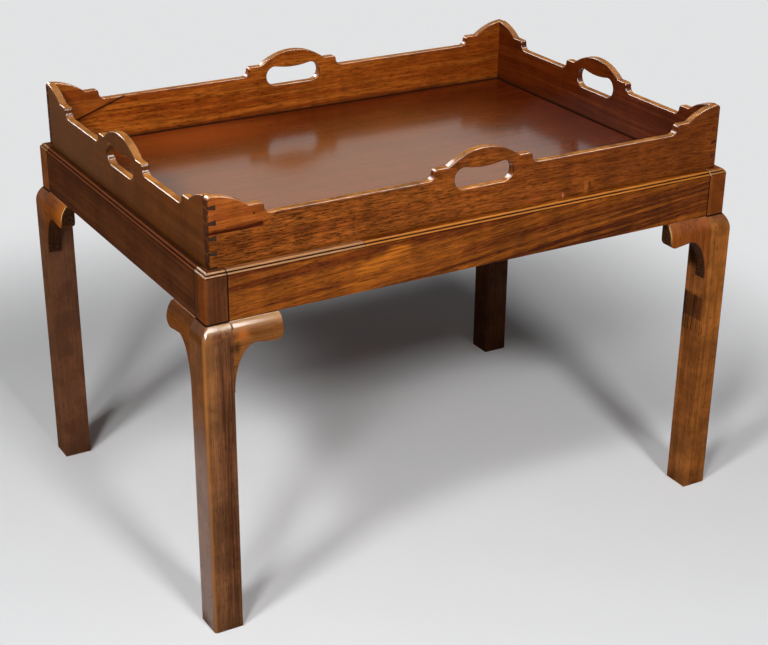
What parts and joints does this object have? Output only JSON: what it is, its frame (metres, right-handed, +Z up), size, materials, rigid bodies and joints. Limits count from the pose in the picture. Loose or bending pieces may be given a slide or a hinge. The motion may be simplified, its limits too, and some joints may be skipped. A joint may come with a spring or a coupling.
{
  "type": "tray top tea table",
  "caption": "Low mahogany tea table: a dovetailed tray with a scalloped gallery and hand-holds lifts out of the moulded lip of a square-legged stand with knee brackets.",
  "frame": {"origin": "on the floor, at the middle of the footprint", "axes": "+X along the long side, -Y towards the front long side, +Z up"},
  "size_m": [0.7286, 0.5216, 0.525],
  "materials": {
    "leg_wood": "polished mahogany, straight grain down the leg",
    "rail_wood": "polished mahogany with ribbon figure",
    "bracket_wood": "polished mahogany",
    "tray_wood": "polished mahogany, brown speckled grain",
    "floor_wood": "polished mahogany, worn and slightly hazy",
    "patch_wood": "polished mahogany, redder than the boards",
    "repair_wood": "polished mahogany, greyer than the rail",
    "block_wood": "unfinished pine, aged",
    "brass_screw": "tarnished",
    "steel_screw": "dulled"
  },
  "bodies": {
    "stand": {"block_screws": "steel_screw", "bracket_back_left": "bracket_wood", "bracket_back_right": "bracket_wood", "bracket_front_left": "bracket_wood", "bracket_front_right": "bracket_wood", "bracket_left_back": "bracket_wood", "bracket_left_front": "bracket_wood", "bracket_right_back": "bracket_wood", "bracket_right_front": "bracket_wood", "corner_block_back_left": "block_wood", "corner_block_back_right": "block_wood", "corner_block_front_left": "block_wood", "corner_block_front_right": "block_wood", "leg_back_left": "leg_wood", "leg_back_right": "leg_wood", "leg_front_left": "leg_wood", "leg_front_right": "leg_wood", "moulding_repair": "repair_wood", "rail_back": "rail_wood", "rail_front": "rail_wood", "rail_left": "rail_wood", "rail_right": "rail_wood"},
    "tray": {"ear_patch_back": "patch_wood", "ear_patch_front": "patch_wood", "floor_screws": "brass_screw", "tray_floor": "floor_wood", "tray_side_back": "tray_wood", "tray_side_front": "tray_wood", "tray_side_left": "tray_wood", "tray_side_right": "tray_wood"}
  },
  "joints": [
    {"name": "tray_lift", "type": "slide", "parent": "stand", "child": "tray", "axis": [0, 0, 1], "range_m": [0, 0.15]}
  ]
}
